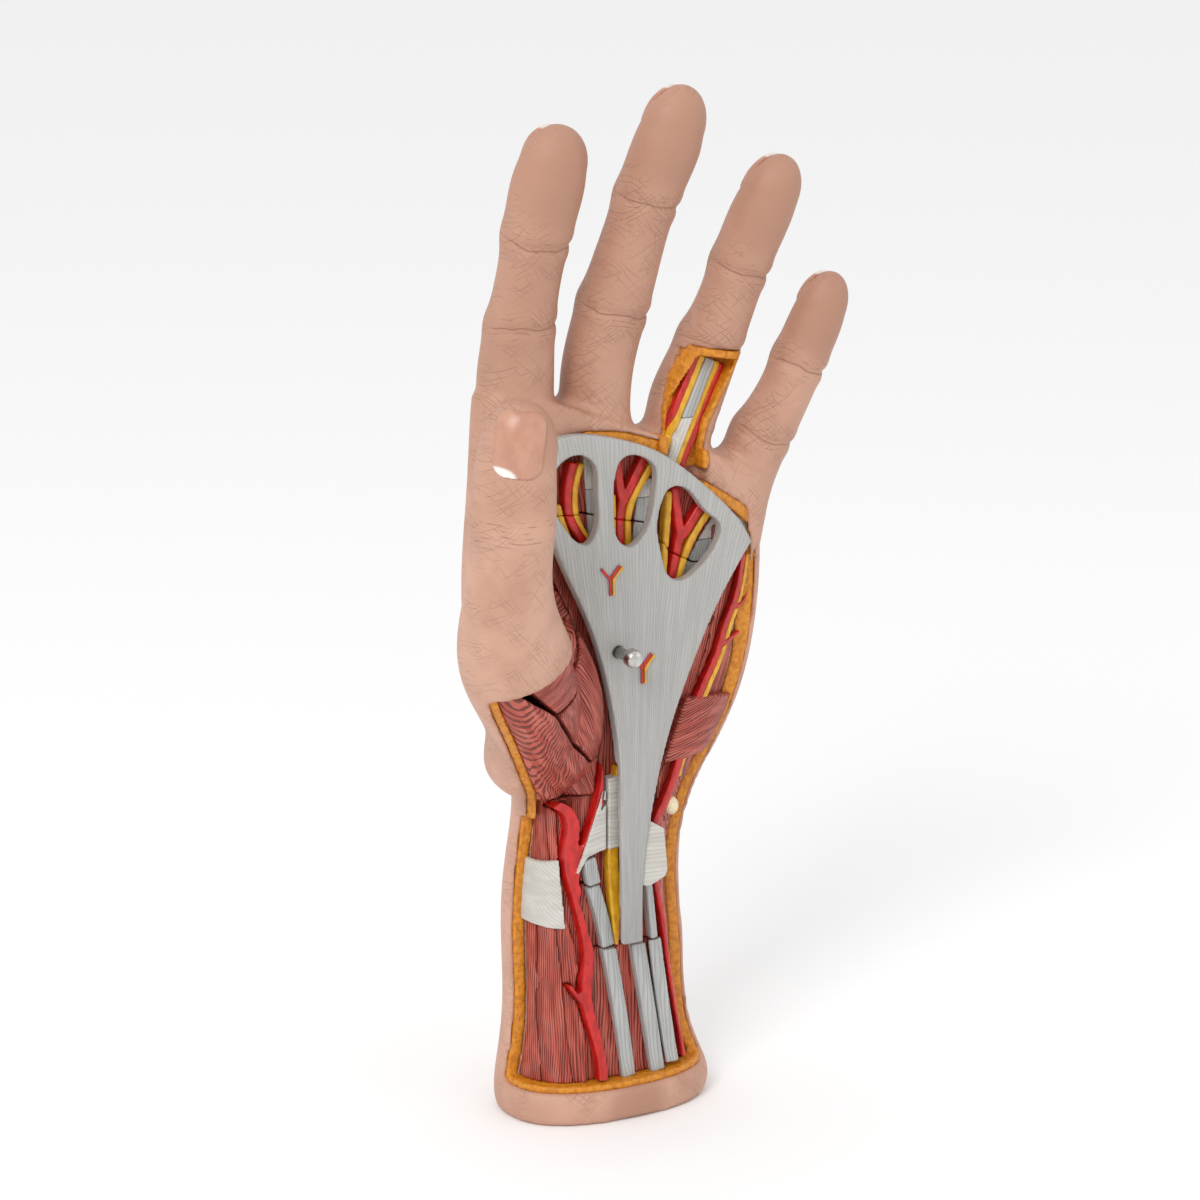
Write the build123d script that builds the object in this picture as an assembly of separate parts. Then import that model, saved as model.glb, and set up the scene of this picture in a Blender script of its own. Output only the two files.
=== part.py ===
"""Life-size anatomical hand with forearm stump: a hollow cast body on a flat foot, a lift-off plate of
superficial flexor tendons, a lift-off palmar aponeurosis, and the pin that holds both on.

Frame: origin at the centre of the flat foot, +Z up the forearm, palm towards -Y, little finger towards +X.
All sizes are in millimetres. Outlines on the palm side are given as (x, z) seen from the front. They are
drawn for a model of DRAWN_HEIGHT and DRAWN_BREADTH and stretched to the sizes asked for.
"""
from build123d import *
import math
import os

# ---------------------------------------------------------------- driving sizes
DRAWN_HEIGHT, DRAWN_BREADTH = 280.0, 89.0
OVERALL_HEIGHT = 280.0      # foot to the tip of the middle finger
PALM_BREADTH = 89.0         # across the knuckles
TALL = OVERALL_HEIGHT / DRAWN_HEIGHT
WIDE = PALM_BREADTH / DRAWN_BREADTH

SKIN = 1.3                  # skin layer of the casting
FAT = 3.0                   # fat layer under the skin
FAT_EDGE = 2.4              # fat shown along the cut edge of the thumb's ball
WALL = 3.0                  # wall of the hollow casting
FOOT_TOP = 9.0              # top of the uncut foot block
FOOT_PLATE = 4.0            # disc that closes the foot
LEDGE = 1.6                 # fat shown on top of the foot block
WINDOW_Y = -3.6             # cut plane of the opened palm and forearm, on the mid line
WINDOW_TILT = 0.165         # how much further forward that plane lies per mm towards +X
HOLLOW_TOP = 150.0          # top of the hollow in the casting

GAP = 0.3                   # seam round each lift-off piece
PLATE_FRONT = -12.6         # front of the tendon plate's bed
PLATE_SHELF = 0.9           # tendons stand this much out of the plate's bed
VESSEL_FRONT = -15.6        # front of the nerves and arteries on the plate and above it
APON_FRONT = -20.2          # front of the palmar aponeurosis
APON_THICK = 3.6
APON_BACK = APON_FRONT + APON_THICK
LIGAMENT_FRONT = -19.4      # front of the ligament beside the aponeurosis

PIN_R = 1.5
PIN_CLEARANCE = 0.06
PIN_HEAD_R = 2.5
PIN_HEAD_LENGTH = 3.2
PIN_PROUD = 9.5             # how far the pin stands out of the aponeurosis
PIN_DEPTH = 9.0             # how far it reaches behind the cut plane
PIN_X, PIN_Z = -6.0 * WIDE, 131.0 * TALL
SOCKET_R = 3.6

# cross-sections of forearm and palm: z, centre x, centre y, half width, half depth
SECTIONS = [
    (0, 0, 0, 29.4, 19.8),
    (9, 0, 0, 30.0, 20.5),
    (20, -1.3, 0, 26.9, 19.9),
    (35, -1.8, 0, 25.5, 19.6),
    (60, -2.7, 0, 24.7, 19.3),
    (75, -1.6, -0.5, 24.3, 18.6),
    (88, 0.8, -1, 26.0, 18.0),
    (104, 2.6, -2, 33.6, 17.0),
    (120, 2.3, -3, 40.2, 16.2),
    (140, 1.8, -3.5, 44.0, 15.4),
    (160, 1.7, -4, 44.0, 14.6),
    (180, 0.9, -4.5, 42.0, 13.4),
    (200, 0.6, -5, 40.6, 12.4),
]
SQUARE = 2.35               # superellipse power of those sections
WEB_Z, WEB_SLOPE = 190.0, -0.38   # plane that ends the palm at the webs between the fingers

# digits: stations of x, y, z, half width, half depth along each one, from inside the palm to the pulp
DIGITS = {
    "index_finger": [(-26, -3, 165, 10.2, 10.2), (-27.2, -4.2, 191, 9.5, 9.2), (-28.4, -8.5, 219, 9.1, 8.7),
                     (-28, -12, 231, 8.5, 8.1), (-27.3, -15, 242, 9.0, 8.2), (-26.3, -18, 253, 9.8, 8.4),
                     (-25.3, -20, 260.5, 9.1, 7.8)],
    "middle_finger": [(-7.5, -3, 165, 10.6, 10.4), (-4.4, -5, 191, 9.7, 9.4), (-3, -11.5, 221, 9.5, 8.9),
                      (-0.2, -15.5, 236, 8.7, 8.2), (2.8, -19, 250, 8.5, 7.9), (5.4, -22.6, 261, 9.2, 7.9),
                      (7.2, -24.6, 268.4, 8.5, 7.4)],
    "ring_finger": [(13, -3, 160, 10.4, 10.2), (20.2, -5, 183, 9.3, 9.2), (26.5, -11.5, 209, 8.8, 8.5),
                    (29.4, -15, 220, 7.9, 7.8), (31.9, -18, 230.5, 7.9, 7.6), (35, -21.8, 242.5, 8.4, 7.6),
                    (37, -24, 249.2, 7.8, 7.1)],
    "little_finger": [(32.5, -4, 148, 9.6, 9.6), (40, -6, 168, 8.6, 8.5), (44.6, -11, 184.5, 8.2, 7.8),
                      (48.1, -14.5, 194, 7.5, 7.2), (51, -17.5, 203.5, 7.4, 6.9), (53.2, -20.6, 212.5, 7.5, 6.7),
                      (54.4, -22.2, 217.6, 7.0, 6.3)],
    "thumb": [(-21.5, -4, 96, 11.0, 10.0), (-25.4, -11, 108, 13.8, 13.0), (-33.4, -21, 124, 14.7, 14.5),
              (-44, -31, 142, 14.0, 13.0), (-49.2, -39.5, 159, 11.0, 10.8), (-51.4, -45, 173, 10.8, 10.0),
              (-52.6, -49, 189, 10.4, 9.0), (-52.6, -50.8, 196, 9.8, 8.2)],
}
TIPS = {  # length of the rounded tip past the last station
    "index_finger": 10.8, "middle_finger": 11.6, "ring_finger": 11.2, "little_finger": 10.4, "thumb": 12.8,
}
TURNS = {  # turn of a digit's back about the vertical: 0 faces +Y, 150 faces forward and outward
    "index_finger": 0, "middle_finger": 0, "ring_finger": 0, "little_finger": 0, "thumb": 150,
}
NAILS = {  # half width and length of each nail
    "index_finger": (6.2, 12.5), "middle_finger": (6.4, 13.0), "ring_finger": (6.0, 12.5),
    "little_finger": (5.0, 10.5), "thumb": (6.0, 15.5),
}
NAIL_THICK = 0.9
NAIL_PROUD = 0.3
NAIL_FROM_TIP = 1.5

# ---------------------------------------------------------------- outlines on the palm side, as (x, z)
FAR = 70.0
FRONT = -60.0
REAR = 20.0
FOREARM_TOP = 92.0
LEDGE_TOP = FOOT_TOP + LEDGE
SKIN_LINE = [(-FAR, 119), (-47, 127), (-38, 131), (-29, 137), (-25.5, 143)]     # lower edge of the thumb's skin
WINDOW = ([(-FAR, FOOT_TOP)] + SKIN_LINE
          + [(-28.5, 165), (-27.5, 184), (-21, 188.6), (-12, 190), (-2, 188.8), (8, 185.6), (24, 172), (34, 166),
             (42, 160.5), (47, 157), (FAR, 157), (FAR, FOOT_TOP)])
PALM_RIM = [(-25.5, 143), (-28.5, 165), (-27.5, 184), (-21, 188.6), (-12, 190), (-2, 188.8), (8, 185.6), (24, 172),
            (34, 166), (42, 160.5), (47, 157), (47, 150), (40, 150), (40, 158), (32.5, 163.5), (23, 169.5),
            (7, 182.8), (-3, 186.3), (-12, 187.4), (-19.4, 186.2), (-24.5, 182), (-25.5, 165), (-22.5, 143)]
# cut edge along the ball of the thumb: distance from the mid line seen from 30 degrees outside it, and z
VIEW_TURN = -30.0
BALL_EDGE = [(-19.6, 84), (-19.3, 92.7), (-21.7, 101.8), (-24, 110.6), (-27.2, 120.5), (-31, 134)]

RING_WINDOW = [(7, 175), (9, 190), (18.5, 209.5), (33.5, 206.8), (24.4, 187), (23, 172)]
RING_INNER = [(9.4, 174), (11.3, 189), (19.9, 207.2), (31.6, 205.2), (22.8, 188), (21, 172)]
RING_RIM_LOW = 176.5
RING_FLOOR = -10.0          # floor of the opened ring finger
RING_FAT = 1.0              # fat on that floor

# outline of the palmar aponeurosis as runs from corner to corner: stem, ulnar edge, far edge, radial edge
APON_OUTLINE = [
    [(-4.4, 49.8), (1.9, 49.8)],
    [(1.9, 49.8), (1.7, 60), (2.4, 72), (4.4, 85), (7.2, 98), (11.4, 111.5), (17, 125), (23.6, 138.5), (30, 149),
     (35, 156)],
    [(35, 156), (32.6, 160.4), (25.4, 168.4), (16, 176.6), (5, 184), (-6, 188), (-15, 190), (-23.4, 190)],
    [(-23.4, 190), (-27.6, 185), (-28, 175), (-25.6, 164), (-19.6, 150), (-14.2, 138.5), (-10.4, 127.3),
     (-7.4, 114.5), (-5.4, 100.5), (-5, 84), (-4.6, 66), (-4.4, 49.8)],
]
APON_HOLES = [
    [(-20.4, 184.6), (-15.4, 184.1), (-12.9, 181.6), (-12.1, 174.2), (-12.8, 163.5), (-14.9, 161), (-18.3, 162),
     (-22, 166.2), (-25, 171), (-25, 181)],
    [(-6.4, 180), (-3.8, 183), (1.6, 182.3), (5.2, 179.2), (5.2, 172.9), (1.4, 161.1), (-2.3, 158.9), (-6, 161.3),
     (-7.1, 167.2)],
    [(7.6, 170.7), (10.9, 173.5), (14.6, 172.6), (21.3, 165.3), (25.4, 161), (25.2, 159.3), (17.7, 150),
     (14, 148.1), (10.3, 148.9), (7.3, 155.2)],
]
STEM_THICK = 2.2            # the stem of the aponeurosis is thinner, up to this height
STEM_TOP = 100.0
TAB_LOW, TAB_TOP = 48.2, 66.3         # seams of the plate's wrist tab
PLATE = [(-10.4, TAB_LOW), (9.5, TAB_LOW), (7.4, TAB_TOP), (5.0, TAB_TOP), (5.0, 82), (7.5, 98), (14, 119),
         (20, 132), (27, 133), (29, 144), (28, 150), (20.5, 150.6), (12, 155), (7.5, 162.6), (-2, 165),
         (-13, 167.6), (-24.5, 168.4), (-23, 154), (-16.5, 141), (-11, 122), (-9, 104), (-7.2, 97), (-6.9, 82),
         (-6.9, TAB_TOP), (-13.2, TAB_TOP), (-14.4, 62.5)]

RADIAL_ARTERY = [(-8.9, 11), (-9.3, 18.2), (-11.8, 28.7), (-13.1, 37.7), (-12.4, 45.8), (-13.7, 56.2), (-15.9, 66.4),
                 (-16.8, 73), (-15.9, 79), (-15.8, 84.4), (-17.4, 87.4), (-19.6, 88.6)]
RADIAL_TWIG = [(-17.2, 38.9), (-15.5, 35.8), (-13.2, 32.5)]
PALMAR_BRANCH = [(-16, 66.5), (-13.3, 76.2), (-10.4, 85), (-8.6, 92), (-7.8, 100)]
PALMAR_TWIG = [(-10.6, 84.2), (-9, 87.4), (-7.3, 89.4)]
ULNAR_ARTERY = [(18.3, 12.5), (16.2, 27), (13, 41), (10.7, 55.2), (8.4, 65.4), (7.4, 73), (7.6, 80.4), (9.8, 84.2),
                (13.3, 90.6), (16, 98.1), (18, 104)]
ULNAR_WIDTHS = [0.9, 1.0, 1.1, 1.3, 1.6, 1.9, 2.1, 2.2, 2.3, 2.3, 2.3]
VESSEL_PROUD = 2.3          # vessels of the forearm and the little finger's side stand this much out of the muscles
VESSEL_SUNK = 1.7

# forearm muscles: lines between neighbours, from the foot ledge up to the wrist
LINE_1 = [(-22.6, LEDGE_TOP), (-22, 38), (-22.3, 53), (-21.7, 72), (-21.3, 96)]
LINE_2 = [(-16.1, LEDGE_TOP), (-17.9, 39), (-19.2, 53.5), (-19.7, 72), (-20.1, 96)]
LINE_3 = [(-12.3, LEDGE_TOP), (-12.5, 25), (-14.9, 49), (-17.6, 59), (-18.3, 72.5), (-17.8, 96)]
LINE_4 = [(19.5, LEDGE_TOP), (16.5, 30), (13.3, 47), (11, 62), (9.4, 76), (9.6, 96)]

FCR_TENDON = [(-0.2, LEDGE_TOP), (-3, 30), (-6.4, TAB_LOW)]
FCR_TAB = [(-6.2, TAB_LOW + 0.2), (-8.9, 60), (-10.9, TAB_TOP - 0.2)]
FCR_TOP = [(-10.9, TAB_TOP + 0.4), (-11.6, 70), (-12.4, 74)]
PALMARIS_TENDON = [(9, LEDGE_TOP), (5.8, 30), (2.6, TAB_LOW)]
STRANDS = 3                             # superficial flexor tendons side by side above the foot
STRAND_WIDTH = 1.25
STRAND_GAP = 0.1
STRAND_PATH = [(12.7, 12), (9.6, 30), (6.9, TAB_LOW)]
STRAND_TAB = [(8.1, TAB_LOW + 0.2), (6.1, TAB_TOP - 0.2)]

MEDIAN_NERVE = [(-3.6, TAB_LOW + 0.2), (-3.9, 56), (-4.1, 62), (-4.7, 70), (-4.8, 76), (-4, 88), (-2.5, 98)]
MEDIAN_WIDTHS = [1.0, 2.4, 3.2, 3.2, 3.0, 2.6, 2.4]
PISIFORM = (13.8, -13.9, 84.6)
PISIFORM_RADII = (2.1, 2.4, 2.6)

PALMARIS_BREVIS = [(10.4, 97.8), (17.3, 114.2), (26, 113.2), (40, 111), (34, 101), (28, 98.2), (19.5, 97.6)]
SLIVER = 1.0                # scraps of the palm's bed smaller than this many mm3 are left out
BREVIS_PROUD = 2.2          # it lies this much out of the muscles
FASCIA_PATCH = [(-29, 71.5), (-23.2, 71.9), (-18.9, 73.2), (-18.5, 64), (-17.9, 54.4), (-21, 54.4), (-24.4, 55),
                (-29, 56.5)]
RETINACULUM = [(-7.3, 95), (-8.4, 93), (-12.4, 81), (-16.2, 70), (-13, 74.6), (-9, 75.8), (-7.3, 76)]
PLATE_RETINACULUM = [(-6.7, 95.5), (-0.5, 96), (-0.5, 76.4), (-6.7, 75.8)]
PLATE_RETINACULUM_FRONT = -16.25
CARPAL_LIGAMENT = [(3.4, 83.6), (8.8, 80.2), (9.9, 68.6), (9.2, 66.8), (4, 64.6), (0.4, 66)]
CORNER_BAND = [(33.5, 162.2), (37.5, 161), (41, 157.5), (41.6, 153), (40.4, 147.5), (38.2, 150.6), (35.6, 155.6)]

THENAR_BALL = (-19.5, -10.0, 117.0)
THENAR_RADII = (13.5, 14.0, 24.0)
THENAR_INSET = 1.8
OPPONENS = [(-44, 131), (-38, 136), (-29, 143), (-24.5, 149), (-14, 146), (-19.2, 131), (-24, 125.2), (-32, 121)]
FLEXOR_BREVIS = [(-31.2, 120.4), (-23.6, 124.6), (-18.6, 130.6), (-13.4, 145.6), (-4, 122), (-4, 104),
                 (-13.4, 102), (-22.4, 110.6)]
ABDUCTOR_BREVIS = [(-FAR, 118), (-46, 129), (-32.4, 120.4), (-22.8, 109.8), (-13.8, 101.3), (-4, 103.2),
                   (-4, 92.3), (-30, 92.3), (-FAR, 92.3)]
HYPOTHENAR_LINE = [(9.4, FOREARM_TOP), (17.5, 107), (22.5, 119), (25.8, 128), (29.6, 140), (31, 151), (36, 160)]
HYPOTHENAR_LEFT = [(26.5, 160), (27, 150), (26, 133), (19, 131), (6, FOREARM_TOP)]

HYPOTHENAR_ARTERY = [(19, 108.5), (21.5, 113.6), (24.7, 119.2), (28.5, 125.9), (30.9, 132.2), (34.4, 138.2), (37.2, 147),
                     (38.6, 153.3)]
HYPOTHENAR_TWIGS = [[(29, 126.6), (32.7, 128), (37.1, 129)], [(34, 137), (37, 136.8), (38.9, 138), (39.8, 143.5)]]
HYPOTHENAR_NERVE = [(20.8, 107.5), (23.3, 112.6), (26.5, 118.4), (30.2, 125.2), (32.6, 131.2), (36, 137.4),
                    (38.8, 146.4), (40, 152.4)]
LOW_NERVE = [(19.5, 101.5), (17.6, 98), (16.3, 94.5), (15.9, 92.4)]     # where it comes out below the palmaris brevis

# arteries, nerves and tendons of the palm: below the seam they lie on the plate, above it on the hand
DIGITAL_ARTERIES = [
    [[(-10.4, 152), (-12.8, 159.4), (-17.6, 167), (-18.4, 174), (-16.6, 182)]],
    [[(-2.2, 150), (-2.6, 158), (-2.7, 165), (-1.8, 171)], [(-1.8, 170), (-3, 175.7), (-3.6, 181)],
     [(-1.8, 170), (0.9, 174.2), (2.8, 177.8), (5.4, 182)]],
    [[(11.6, 143.5), (13, 147.5), (14.2, 153), (16, 159.6)], [(16, 158.6), (15, 164.3), (14.2, 172)],
     [(16, 158.6), (20.3, 163.7), (22.7, 166.7), (25.6, 169)]],
]
DIGITAL_NERVES = [
    [[(-8.4, 152.5), (-11.2, 159), (-15.6, 167), (-16.2, 174), (-14, 181.5)], [(-15.4, 157), (-18.6, 163), (-21.4, 171)]],
    [[(-4.8, 151), (-4.9, 159.8), (-4.8, 166.5), (-5, 172)],
     [(-0.3, 150), (0, 158), (0.4, 168), (2.6, 172.5), (4.9, 175.7), (7.4, 179.4)]],
    [[(10, 143), (10.8, 149.8), (11.2, 156.7), (11.8, 163), (12.2, 171)],
     [(13.8, 142), (15.4, 147.5), (17.4, 153.3), (19.6, 157.6), (22.4, 161.6), (25, 164.6), (27.4, 167)]],
]
FLEXOR_TENDONS = [
    [(-4.5, 130), (-7.4, 158.5), (-8, 167), (-8.6, 174), (-9.4, 184)],
    [(2, 130), (5.4, 157), (6.2, 164), (7.6, 172), (11, 179)],
    [(10, 132), (20.7, 148.4), (24.6, 154.8), (30, 161.5)],
]
SHEATH_LOW = [174.0, 170.0, 156.5]      # above these heights the tendons run in their sheaths
ARTERY_WIDTH = 2.2
NERVE_WIDTH = 1.7
TENDON_WIDTHS = [7.0, 7.0, 5.6]
RING_CENTRE = [(13.6, 178.6), (15.2, 182.4), (18.6, 189.6), (22.1, 197), (25.8, 205)]
RING_LINES = {"ring_digital_arteries": 4.2, "ring_digital_nerves": 2.45}    # distance from that centre line
PERFORATORS = [(-8.8, 151.0), (0.9, 126.0)]     # where small vessels come through the aponeurosis
FORK_ARMS = [[(0, 0), (-2.8, 3.2)], [(0, 0), (3.0, 3.6)], [(0, 0.4), (0.2, -4.6)]]
FORK_NERVE = [(1.1, -4.4), (1.0, -0.6), (4.0, 2.9)]
FORK_WIDTH = 1.1
FORK_PROUD = 0.7
BED_DROP = 1.5              # the deep muscle bed of the forearm lies this much lower than the muscles beside it
TENDON_FRONT = -16.3        # front of the tendons on that bed
STRAND_FRONT = -15.4
PATCH = 1.2                 # thickness of the patch of fascia
RING_TENDON_HALF = 1.55
RING_SHEATH_TOP = 190.0     # above this height the ring finger's tendon is bare
PIN_END = 0.5               # bore left past the end of the pin


# ---------------------------------------------------------------- shared shapes
def at(points):
    """Drawn (x, z) points stretched to the model's height and breadth."""
    return [(x * WIDE, z * TALL) for x, z in points]


def superellipse(x, y, a, b, plane):
    """Closed outline of half axes a and b round (x, y) on a plane."""
    points = []
    count = 20
    for i in range(count):
        t = 2 * math.pi * i / count
        c, s = math.cos(t), math.sin(t)
        points.append((x + a * math.copysign(abs(c) ** (2 / SQUARE), c),
                       y + b * math.copysign(abs(s) ** (2 / SQUARE), s)))
    return plane * make_face(Spline(*points, periodic=True))


def slab(low, high):
    """Everything between two drawn heights."""
    return Pos(0, 0, (low + high) / 2 * TALL) * Box(400, 400, (high - low) * TALL)


def between(front, back):
    """Everything between y = front and y = back."""
    return Pos(0, (front + back) / 2, 140) * Box(400, back - front, 600)


def envelope(inset=0.0):
    """Forearm and palm as one smooth solid, its sides inset all round."""
    faces = [superellipse(x * WIDE, y, a * WIDE - inset, b - inset, Plane.XY.offset(z * TALL))
             for z, x, y, a, b in SECTIONS]
    return loft(faces)


def stations(name):
    """Points and half axes along one digit."""
    return [(Vector(x * WIDE, y, z * TALL), a * WIDE, b) for x, y, z, a, b in DIGITS[name]]


def digit_plane(name, i):
    """Plane across a digit at one of its stations, its x axis along the digit's width."""
    points = [s[0] for s in stations(name)]
    turn = Vector(math.cos(math.radians(TURNS[name])), math.sin(math.radians(TURNS[name])), 0)
    along = points[min(i + 1, len(points) - 1)] - points[max(i - 1, 0)]
    return Plane(origin=points[i], x_dir=turn, z_dir=along)


def digit(name, inset=0.0):
    """One digit, lofted through its stations and closed by a half ellipsoid."""
    along = stations(name)
    faces = [digit_plane(name, i) * Ellipse(a - inset, b - inset) for i, (p, a, b) in enumerate(along)]
    half_ball = Sphere(1) & Pos(0, 0, 1) * Box(4, 4, 2)
    last = len(along) - 1
    tip = scale(half_ball, by=(along[last][1] - inset, along[last][2] - inset, TIPS[name] - inset))
    return loft(faces) + digit_plane(name, last) * tip


def nail(name):
    """The nail on the back of a digit's tip: the part of a thin skin over the tip inside a rounded box."""
    half_width, length = NAILS[name]
    plane = digit_plane(name, len(DIGITS[name]) - 1)
    middle = TIPS[name] - NAIL_FROM_TIP - length / 2
    box = plane * Pos(0, 10, middle) * Box(2 * half_width, 16, length)
    box = fillet(box.edges().filter_by(Axis(plane.origin, plane.y_dir)), half_width * 0.55)
    return (digit(name, -NAIL_PROUD) - digit(name, NAIL_THICK - NAIL_PROUD)) & box


def window_front(lift=0.0):
    """Everything in front of the cut plane, moved forward by lift."""
    slope = math.degrees(math.atan(WINDOW_TILT))
    return Pos(0, WINDOW_Y - lift, 100) * Rot(0, 0, -slope) * Pos(0, -100, 0) * Box(400, 200, 600)


def cast(face, front, back):
    """An (x, z) face made solid from y = back forward to y = front."""
    return extrude(Plane.XZ.offset(-back) * face, back - front)


def outline(points):
    """A drawn (x, z) outline as a flat face."""
    return make_face(Polyline(*at(points), close=True))


def smooth(points):
    """A drawn (x, z) outline as a flat face with a flowing edge."""
    return make_face(Spline(*at(points), periodic=True))


def flowing(runs, gap=0.0):
    """A drawn outline of smooth runs from corner to corner as a flat face, its edge moved outward by gap."""
    runs = [[Vector(x, z) for x, z in at(run)] for run in runs]
    round_trip = [p for run in runs for p in run[:-1]]
    moved = {}
    for i, p in enumerate(round_trip):
        along = (round_trip[(i + 1) % len(round_trip)] - p).normalized() + (p - round_trip[i - 1]).normalized()
        along = along.normalized()
        moved[i] = p + Vector(along.Y, -along.X) * gap
    edges, start = [], 0
    for run in runs:
        points = [moved[(start + i) % len(round_trip)] for i in range(len(run))]
        edges.append(Line(*points) if len(points) == 2 else Spline(*points))
        start += len(run) - 1
    return make_face(edges)


def prism(points, front=FRONT, back=REAR):
    """A drawn (x, z) outline made solid from y = back forward to y = front."""
    return cast(outline(points), front, back)


def line_prism(left, right):
    """Everything between two lines running up the forearm."""
    return prism(left + list(reversed(right)))


def ball_prism(edge, shift=0.0):
    """Everything outside the cut edge along the ball of the thumb, moved inward by shift."""
    points = [(x + shift, z) for x, z in at(edge)]
    corner_low, corner_high = (-2 * FAR, points[0][1]), (-2 * FAR, points[-1][1])
    turn = math.radians(VIEW_TURN)
    plane = Plane(origin=(0, 0, 0), x_dir=(math.cos(turn), math.sin(turn), 0),
                  z_dir=(math.sin(turn), -math.cos(turn), 0))
    face = make_face(Polyline(corner_low, *points, corner_high, close=True))
    return extrude(plane * face, 2 * FAR, both=True)


def strip(path, width, front=FRONT, back=REAR, aside=0.0):
    """A band along a drawn (x, z) path, of one width or one per point, moved aside, from y = back to y = front."""
    points = [Vector(x, z) for x, z in at(path)]
    widths = width if isinstance(width, list) else [width] * len(points)
    left, right = [], []
    for i, (p, w) in enumerate(zip(points, widths)):
        t = (points[min(i + 1, len(points) - 1)] - points[max(i - 1, 0)]).normalized()
        n = Vector(-t.Y, t.X)
        left.append(p + n * (w / 2 - aside))
        right.append(p - n * (w / 2 + aside))
    edges = [Spline(*left), Line(left[-1], right[-1]), Spline(*reversed(right)), Line(right[0], left[0])]
    return cast(make_face(edges), front, back)


def pin_line(radius, front, back):
    """A cylinder on the pin's axis from y = back forward to y = front."""
    return Pos(PIN_X, (front + back) / 2, PIN_Z) * Rot(90, 0, 0) * Cylinder(radius, back - front)


def union(shapes):
    """All the shapes as one."""
    whole = shapes[0]
    for shape in shapes[1:]:
        whole = whole + shape
    return whole


def write(name, *shapes):
    """Writes one named piece and returns it."""
    made = Compound(label=name, children=[s for shape in shapes for s in shape.solids()])
    print(f"{name:28s} {len(made.solids())} {sum(s.volume for s in made.solids()):9.1f} {made.is_valid}")
    export_step(made, f"parts/{name}.step")
    return made


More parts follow.
